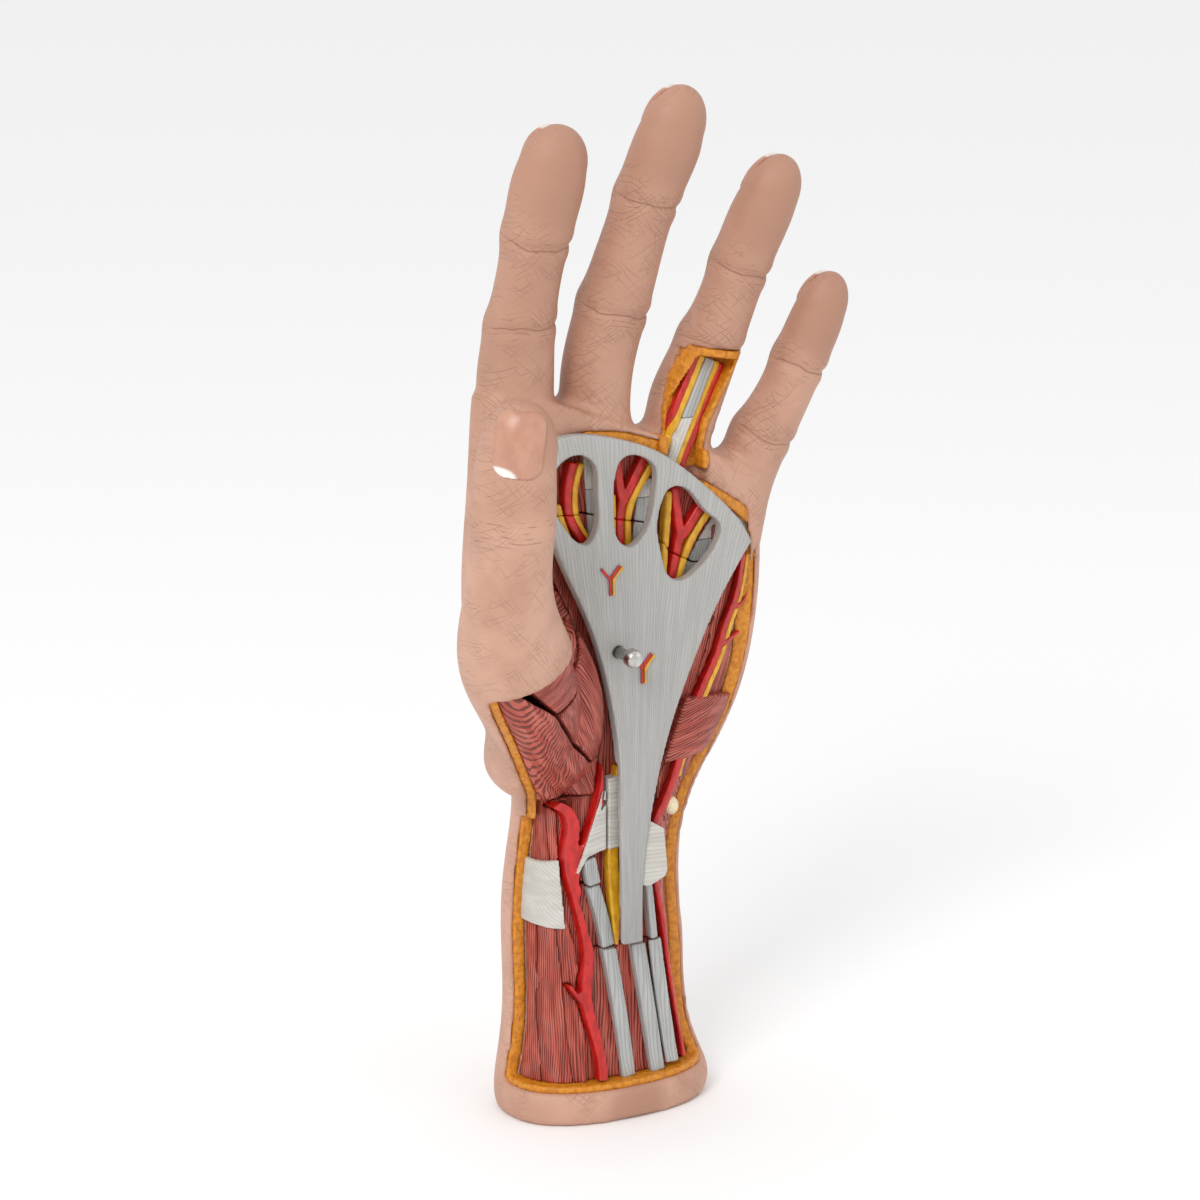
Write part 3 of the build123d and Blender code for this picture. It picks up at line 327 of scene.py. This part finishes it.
paint = blend(tree, reach(tree, mottle, 0.3, 0.7, 0.0, 0.55), PALE_SKIN, TAN_SKIN)
up = add(tree, "SeparateXYZ", {"Vector": here}).outputs["Z"]
paint = blend(tree, reach(tree, up, 0.15, 0.23, 0.0, 0.6), paint, TAN_SKIN)
paint = blend(tree, reach(tree, stored(tree, "pulp"), 0.1, 1.0, 0.0, 0.8), paint, TAN_SKIN)
# Painted shade: the print lines and the folds at the joints are darkened where they dip into the skin.
paint = blend(tree, math_of(tree, "MULTIPLY", printed, 0.2), paint, FOLD_SHADE_SKIN)
paint = blend(tree, math_of(tree, "MULTIPLY", folds, 0.5), paint, FOLD_SHADE_SKIN)
tree.links.new(paint, shader.inputs["Base Color"])
height = sum_of(tree, (printed, -0.45), (folds, -0.9), (pores, 0.28), (mottle, 0.3))
relief(tree, shader, height, 0.30)
mount(skin, matt_skin, "hand", "skin", "hand_shell", *DIGITS)

# ------------------------------------------------------------------ nails
# Thin plates moulded with the finger tips and painted by hand: pinker than the skin and half gloss, with
# a white edge at the tip and, on the thumb, a broad white moon at the root.
nail_paint, tree, shader = blank("half_gloss_painted_nail", roughness=0.34, ior=1.5)
here = add(tree, "TexCoord").outputs["Object"]
ridges = speckle(tree, here, (0.5, 0.5, 14), 2)
paint = blend(tree, reach(tree, speckle(tree, here, (4, 4, 6)), 0.3, 0.7), "#BE8D77", "#B3806A")
paint = blend(tree, stored(tree, "white"), paint, "#E6E0DA")
tree.links.new(paint, shader.inputs["Base Color"])
relief(tree, shader, ridges, 0.05)
NAIL_GRAIN, NAIL_PROUD = 0.3 * MM, 0.18
MOON_HEIGHT, MOON_WIDTH = 0.20, 0.46  # share of the thumb nail's length and width
for name in ("index", "middle", "ring", "little", "thumb"):
    nail = copy_of("nail_" + name, name + "_nail")
    round_off(nail, NAIL_GRAIN, 3)
    at, out = read(nail) / MM, read(nail, "normal")
    move(nail, (at + out * NAIL_PROUD) * MM)
    aside = at[:, 0] * 0.87 - at[:, 1] * 0.5
    along, aside = [(t - t.min()) / (t.max() - t.min()) for t in (at[:, 2], aside)]
    if name == "thumb":
        keep(nail, "white", 1 - ease(np.hypot(along / MOON_HEIGHT, aside / MOON_WIDTH), 0.85, 1.05))
    else:
        keep(nail, "white", 0.8 * ease(along, 0.93, 0.97))
    mount(nail, nail_paint, "hand", "nail", name + "_nail")

# ------------------------------------------------------------------ foot plate
# A disc of the same resin glued into the foot of the hollow casting. It is left unpainted: cream, with
# the fine scratches of sanding the foot flat.
bare_resin, tree, shader = blank("sanded_bare_resin", roughness=0.6, ior=1.5)
here = add(tree, "TexCoord").outputs["Object"]
scratch = speckle(tree, here, (0.4, 9, 0.4), 3)
paint = blend(tree, reach(tree, speckle(tree, here, (8, 8, 8)), 0.3, 0.7), "#DCC9B0", "#CDB89C")
paint = blend(tree, reach(tree, scratch, 0.5, 0.7, 0.0, 0.5), paint, "#B9A488")
tree.links.new(paint, shader.inputs["Base Color"])
relief(tree, shader, scratch, 0.08)
foot = copy_of("foot_disc", "foot_plate")
apply(foot, "BEVEL", width=0.3 * MM, segments=2, limit_method="ANGLE", angle_limit=math.radians(40))
mount(foot, bare_resin, "hand", "skin", "foot_plate")

# ------------------------------------------------------------------ fat
# The layer under the skin, seen as an ochre band along every cut edge and on top of the foot. It is part of
# the casting, stippled with a brush and painted, so it looks grainy with a low gloss.
fat_paint, tree, shader = blank("stippled_ochre_fat_paint", roughness=0.46, ior=1.48)
here = add(tree, "TexCoord").outputs["Object"]
lumps = speckle(tree, here, (1.3, 1.3, 1.3), 3)
grains = speckle(tree, here, (0.5, 0.5, 0.5), 2)
paint = blend(tree, reach(tree, lumps, 0.35, 0.65), "#BB700F", "#D58A1E")
paint = blend(tree, reach(tree, grains, 0.55, 0.75, 0.0, 0.5), paint, "#DA9C38")
tree.links.new(paint, shader.inputs["Base Color"])
relief(tree, shader, sum_of(tree, (lumps, 0.7), (grains, 0.4)), 0.35)
FAT_GRAIN, LUMP_SIZE = 0.5 * MM, 2.2
for name, nodes in (("ochre_fat_band", ("fat_layer", "fat_rim_palm", "fat_rim_thumb")),
                    ("ochre_fat_rim_ring_finger", ("fat_rim_ring_finger",))):
    fat = copy_of(name, *nodes)
    round_off(fat, FAT_GRAIN, 3)
    at, out = read(fat) / MM, read(fat, "normal")
    lumpy = np.array([noise.noise(Vector(p) / LUMP_SIZE) for p in at])
    move(fat, (at + out * (0.10 + 0.14 * lumpy)[:, None]) * MM)
    mount(fat, fat_paint, "hand", "fat", *nodes)

# ------------------------------------------------------------------ muscles
# Cast with the body and carved: each belly is rounded and combed with a fine tool along its fibres, and
# painted brick pink; the fine grooves between the fibres get a dark red as painted shade.
# The forearm's and the hand's muscles meet at one height, where each runs a little way into the other.
WRIST_CUT, LAP, LAP_REACH, BREVIS_RISE = 92.0, 1.5, 2.5, 0.35
MUSCLES = {  # node: the (x, z) point its fibres run to, grain of its surface, rounds of rubbing
    "brachioradialis_muscle": ((-26, 330), 0.45, 12), "flexor_carpi_radialis_muscle": ((-26, 300), 0.4, 10),
    "flexor_pollicis_longus_muscle": ((-30, 260), 0.4, 12), "flexor_muscle_bed": ((-9, 260), 0.5, 5),
    "flexor_carpi_ulnaris_muscle": ((4, 300), 0.45, 8), "abductor_pollicis_brevis": ((-3, 74), 0.45, 8),
    "flexor_pollicis_brevis": ((6, 78), 0.45, 8), "opponens_pollicis": ((-85, 88), 0.4, 8),
    "abductor_digiti_minimi": ((6, 40), 0.45, 6), "flexor_digiti_minimi": ((4, 50), 0.45, 6),
    "palm_muscle_bed": ((0, 60), 0.5, 4), "palmaris_brevis": ((-200, 84), 0.35, 5),
    "tendon_plate_bed": ((-2, 330), 0.5, 3),
}


def comb(piece, spot, spacing, depth):
    """Combs grooves along fibres that run to a spot, and stores where each fibre lies, for the paint."""
    at, out = read(piece) / MM, read(piece, "normal")
    dx, dz = at[:, 0] - spot[0], at[:, 2] - spot[1]
    along = np.hypot(dx, dz)
    side = math.copysign(1, dz.mean())
    across = np.arctan2(dx * side, dz * side) * along.mean()
    keep(piece, "grain", np.stack([across, along, at[:, 1]], 1))
    places = zip(across / 5, along / 16, at[:, 1] / 6)
    drift = np.array([noise.noise(Vector(place)) for place in places])
    wave = np.sin(2 * math.pi * (across / spacing + 1.1 * drift))
    groove = np.clip(wave - 0.2, 0, 1) ** 1.5
    move(piece, (at - out * (depth * groove)[:, None]) * MM)


def fibre_paint(name, light, mid, dark, pitch, depth, roughness, groove_shade_share):
    """Paint over combed fibres: streaks along the grain, and painted shade in grooves two pitches apart."""
    material, tree, shader = blank(name, roughness=roughness, ior=1.48)
    grain = add(tree, "Attribute", attribute_name="grain").outputs["Vector"]

    def streaks(across, along, detail):
        scale = {"Vector": grain, "Scale": (across, along, across * 3)}
        spread = add(tree, "Mapping", scale, vector_type="TEXTURE").outputs[0]
        return add(tree, "TexNoise", {"Vector": spread, "Scale": 1.0, "Detail": detail}).outputs["Fac"]

    sway, broad = streaks(pitch * 9, pitch * 40, 1), streaks(pitch * 4, pitch * 60, 1)
    dabs = streaks(5, 9, 2)
    place = add(tree, "SeparateXYZ", {"Vector": grain}).outputs
    rows = sum_of(tree, (place["X"], 1.0), (place["Z"], 0.9), (sway, pitch * 6))
    width = reach(tree, streaks(pitch * 2.5, pitch * 22, 1), 0.32, 0.62, 0.12 * pitch, 0.60 * pitch)
    cut = math_of(tree, "DIVIDE", math_of(tree, "PINGPONG", rows, pitch), width)
    cut = reach(tree, cut, 0.35, 1.0, 1.0, 0.0)
    paint = blend(tree, reach(tree, broad, 0.38, 0.62), mid, light)
    paint = blend(tree, reach(tree, dabs, 0.35, 0.7, 0.0, 0.45), paint, mid)
    # Painted shade: the dark colour goes into the same grooves that the bump cuts.
    paint = blend(tree, math_of(tree, "MULTIPLY", cut, groove_shade_share), paint, dark)
    tree.links.new(paint, shader.inputs["Base Color"])
    relief(tree, shader, sum_of(tree, (cut, -0.9), (broad, 0.5)), depth)
    return material


flesh = fibre_paint("combed_brick_pink_muscle_paint", "#BF6252", "#A84435", "#5C1A15",
                    pitch=0.42, depth=0.4, roughness=0.42, groove_shade_share=0.85)
for node, (spot, grain, rounds) in MUSCLES.items():
    muscle = copy_of(node + "_carved", node)
    round_off(muscle, grain * MM, rounds)
    at, out = read(muscle) / MM, read(muscle, "normal")
    top, bottom = at[:, 2].max(), at[:, 2].min()
    if abs(top - WRIST_CUT) < 3:
        at[:, 2] += LAP * ease(at[:, 2], top - LAP_REACH, top)
    if abs(bottom - WRIST_CUT) < 3:
        at[:, 2] -= LAP * (1 - ease(at[:, 2], bottom, bottom + LAP_REACH))
    if node == "palmaris_brevis":
        at += out * BREVIS_RISE
    move(muscle, at * MM)
    comb(muscle, spot, 1.9, 0.16)
    body = "tendon_plate" if node == "tendon_plate_bed" else "hand"
    mount(muscle, flesh, body, "muscle", node)

# ------------------------------------------------------------------ tendons
# Raised cords and bands that carry the muscles' pull: moulded with the body or the plate, painted light
# grey with fine streaks along their length, and a little painted shade in their fine grooves.
TENDONS = {  # node: the (x, z) point its fibres run to, body
    "radial_wrist_tendon": ((-20, 160), "hand"), "palmaris_longus_tendon": ((-10, 160), "hand"),
    "superficial_flexor_strands": ((-4, 160), "hand"), "wrist_tab_tendons": ((-10, 400), "tendon_plate"),
    "palm_tendons": ((0, 60), "hand"), "plate_tendons": ((0, 60), "tendon_plate"),
    "ring_flexor_tendon": ((-60, 0), "hand"),
}
tendon_paint = fibre_paint("streaked_grey_tendon_paint", "#B0B1AF", "#A4A5A3", "#787876",
                           pitch=0.5, depth=0.12, roughness=0.4, groove_shade_share=0.3)
for node, (spot, body) in TENDONS.items():
    tendon = copy_of(node + "_cast", node)
    round_off(tendon, 0.28 * MM, 9)
    comb(tendon, spot, 1.4, 0.05)
    mount(tendon, tendon_paint, body, "tendon", node)

# ------------------------------------------------------------------ sheaths, ligaments and fascia
# Thin white sheets that hold the tendons down: the band across the wrist, the patch on the forearm, the
# sheaths on the fingers, the corner under the little finger. They are moulded flat and brushed off-white.
SHEETS = {  # node: the (x, z) point its fibres run to, body, rounds of rubbing
    "flexor_retinaculum": ((-200, 60), "hand", 5), "antebrachial_fascia_patch": ((-200, 70), "hand", 3),
    "palm_tendon_sheaths": ((0, 60), "hand", 8), "ulnar_corner_band": ((20, 60), "hand", 6),
    "ring_tendon_sheath": ((-60, 0), "hand", 8), "palmar_carpal_ligament": ((-200, 80), "aponeurosis", 4),
    "plate_retinaculum": ((-200, 80), "tendon_plate", 4),
}
# A faint painted shade lies in the fine grooves between the fibres.
white_paint = fibre_paint("brushed_white_fascia_paint", "#C9C6BF", "#BEBAB2", "#989289",
                          pitch=0.6, depth=0.10, roughness=0.5, groove_shade_share=0.16)
for node, (spot, body, rounds) in SHEETS.items():
    sheet = copy_of(node + "_cast", node)
    round_off(sheet, 0.3 * MM, rounds)
    comb(sheet, spot, 1.6, 0.04)
    mount(sheet, white_paint, body, "fascia", node)

# The pisiform: a pea-sized wrist bone that shows through the muscle at the heel of the hand. It is a
# rounded lump painted cream, pitted like bone.
bone_paint, tree, shader = blank("pitted_cream_bone_paint", roughness=0.5, ior=1.5)
here = add(tree, "TexCoord").outputs["Object"]
pits = speckle(tree, here, (0.6, 0.6, 0.6), 3)
paint = blend(tree, reach(tree, pits, 0.3, 0.7), "#E8DDBE", "#D6C79F")
tree.links.new(paint, shader.inputs["Base Color"])
relief(tree, shader, pits, 0.15)
bone = copy_of("pisiform_bone", "pisiform")
round_off(bone, 0.25 * MM, 4)
mount(bone, bone_paint, "hand", "fascia", "pisiform")

# ------------------------------------------------------------------ arteries and nerves
# Round cords laid over the muscles, with side branches: arteries painted glossy red, nerves yellow. They are
# moulded with what they lie on and picked out with a fine brush, so their colour is slightly uneven.
VESSELS = {  # node: slot, body, grain, rounds of rubbing, swell
    "radial_artery": ("artery", "hand", 0.35, 14, -0.40), "ulnar_artery": ("artery", "hand", 0.3, 9, 0.15),
    "hypothenar_artery": ("artery", "hand", 0.28, 10, -0.1),
    "hypothenar_nerve": ("nerve", "hand", 0.28, 8, -0.05),
    "palm_digital_arteries": ("artery", "hand", 0.28, 12, 0.18),
    "palm_digital_nerves": ("nerve", "hand", 0.28, 10, 0.18),
    "ring_digital_arteries": ("artery", "hand", 0.28, 10, 0.12),
    "ring_digital_nerves": ("nerve", "hand", 0.28, 10, 0.12),
    "plate_digital_arteries": ("artery", "tendon_plate", 0.28, 12, 0.15),
    "plate_digital_nerves": ("nerve", "tendon_plate", 0.28, 10, 0.15),
    "median_nerve": ("nerve", "tendon_plate", 0.3, 12, 0.1),
    "perforating_arteries": ("artery", "aponeurosis", 0.15, 14, -0.16),
    "perforating_nerves": ("nerve", "aponeurosis", 0.15, 8, -0.06),
}


def brushed_gloss(name, bright, deep, speck, roughness):
    """Half gloss enamel put on with a fine brush: two shades that run into each other, and a few specks."""
    material, tree, shader = blank(name, roughness=roughness, ior=1.5, coat_weight=0.15)
    here = add(tree, "TexCoord").outputs["Object"]
    dabs, dots = speckle(tree, here, (1.6, 1.6, 3.5), 2), speckle(tree, here, (0.5, 0.5, 0.5), 1)
    paint = blend(tree, reach(tree, dabs, 0.35, 0.65), bright, deep)
    paint = blend(tree, reach(tree, dots, 0.68, 0.78, 0.0, 0.6), paint, speck)
    tree.links.new(paint, shader.inputs["Base Color"])
    relief(tree, shader, sum_of(tree, (dabs, 0.6), (dots, 0.4)), 0.16)
    return material


gloss = {"artery": brushed_gloss("brushed_red_artery_enamel", "#C41A14", "#A80E0A", "#7C0806", 0.34),
         "nerve": brushed_gloss("brushed_yellow_nerve_enamel", "#DDA822", "#C88E14", "#875C10", 0.4)}
for node, (slot, body, grain, rounds, swell) in VESSELS.items():
    vessel = copy_of(node + "_cast", node)
    round_off(vessel, grain * MM, rounds)
    at, out = read(vessel) / MM, read(vessel, "normal")
    uneven = np.array([noise.noise(Vector(p) / 4) for p in at])
    move(vessel, (at + out * (swell + 0.08 * uneven)[:, None]) * MM)
    mount(vessel, gloss[slot], body, slot, node)

# ------------------------------------------------------------------ palmar aponeurosis
# The fan of tough white tissue over the palm: a separate stiff casting 3.6 mm thick, lifted off by hand, with
# three windows. It is painted light grey, and its fibres fan out from the stem towards the fingers.
# A faint painted shade lies in the fine grooves between the fibres.
fan_paint = fibre_paint("satin_grey_aponeurosis_paint", "#AEADAA", "#A8A7A4", "#807E7B",
                        pitch=0.42, depth=0.10, roughness=0.36, groove_shade_share=0.14)
fan = copy_of("palmar_aponeurosis_fan", "palmar_aponeurosis")
round_off(fan, 0.5 * MM, 4)
comb(fan, (-1, 34), 2.4, 0.04)
mount(fan, fan_paint, "aponeurosis", "fascia", "palmar_aponeurosis")

# ------------------------------------------------------------------ pin and its bush
# A turned steel pin with a domed head goes through the aponeurosis and the tendon plate into a steel bush
# set in the casting. It is pulled out towards the palm side. Both show fine rings from the lathe.
steel, tree, shader = blank("turned_steel", roughness=0.24, metallic=1.0)
here = add(tree, "TexCoord").outputs["Object"]
rings = speckle(tree, here, (6, 0.22, 6), 2)
smears = speckle(tree, here, (2.5, 2.5, 2.5), 2)
paint = blend(tree, reach(tree, smears, 0.35, 0.7), "#D2D0CC", "#B4B2AE")
tree.links.new(paint, shader.inputs["Base Color"])
relief(tree, shader, rings, 0.03)
for node, name in (("retaining_pin", "domed_steel_pin"), ("pin_socket", "steel_bush")):
    turned = copy_of(name, node)
    bpy.ops.object.shade_smooth_by_angle(angle=math.radians(35))
    apply(turned, "BEVEL", width=0.15 * MM, segments=2, limit_method="ANGLE", angle_limit=math.radians(50))
    mount(turned, steel, "pin" if node == "retaining_pin" else "hand", "steel", node)

# ------------------------------------------------------------------ floor, light and camera
# A plain pale table, an even white room, a soft light from the upper left and a weak one from the right, as
# for a catalogue picture. Colours go to the picture as they are, with no film curve.
FLOOR_SIZE = 6.0
bpy.ops.object.select_all(action="DESELECT")
bpy.ops.mesh.primitive_plane_add(size=FLOOR_SIZE, location=(0, 0, -0.0002))
floor = bpy.context.active_object
floor.name = "pale_floor"
bpy.ops.object.transform_apply(location=True)
pale, tree, shader = blank("pale_matt_board", roughness=0.8)
shader.inputs["Base Color"].default_value = linear("#FAFAFA")
floor.data.materials.append(pale)

world = bpy.data.worlds.new("soft_room")
bpy.context.scene.world = world
world.use_nodes = True
world.node_tree.nodes["Background"].inputs["Color"].default_value = (1, 1, 1, 1)
world.node_tree.nodes["Background"].inputs["Strength"].default_value = 0.9
bpy.context.scene.view_settings.view_transform = "Standard"


def soft_light(name, place, aim, size, power):
    """A square soft light aimed at a point."""
    light = bpy.data.lights.new(name, "AREA")
    light.size, light.energy = size, power
    lamp = bpy.data.objects.new(name, light)
    bpy.context.scene.collection.objects.link(lamp)
    lamp.location = place
    lamp.rotation_euler = (Vector(aim) - Vector(place)).to_track_quat("-Z", "Y").to_euler()


MIDDLE = (0, 0, 0.14)
soft_light("key", (-1.1, -0.9, 1.2), MIDDLE, 0.6, 12)
soft_light("fill", (0.9, -1.0, 0.5), MIDDLE, 0.8, 1)

AZIMUTH, ELEVATION, DISTANCE, LENS = math.radians(-30), math.radians(14), 1.1, 123.9
back = Vector((math.sin(AZIMUTH) * math.cos(ELEVATION), -math.cos(AZIMUTH) * math.cos(ELEVATION),
               math.sin(ELEVATION)))
camera = bpy.data.objects.new("camera", bpy.data.cameras.new("camera"))
bpy.context.scene.collection.objects.link(camera)
camera.data.lens, camera.data.sensor_width = LENS, 36
camera.data.clip_start, camera.data.clip_end = 0.05, 20
camera.location = Vector(MIDDLE) + back * DISTANCE
camera.rotation_euler = (-back).to_track_quat("-Z", "Y").to_euler()
bpy.context.scene.camera = camera
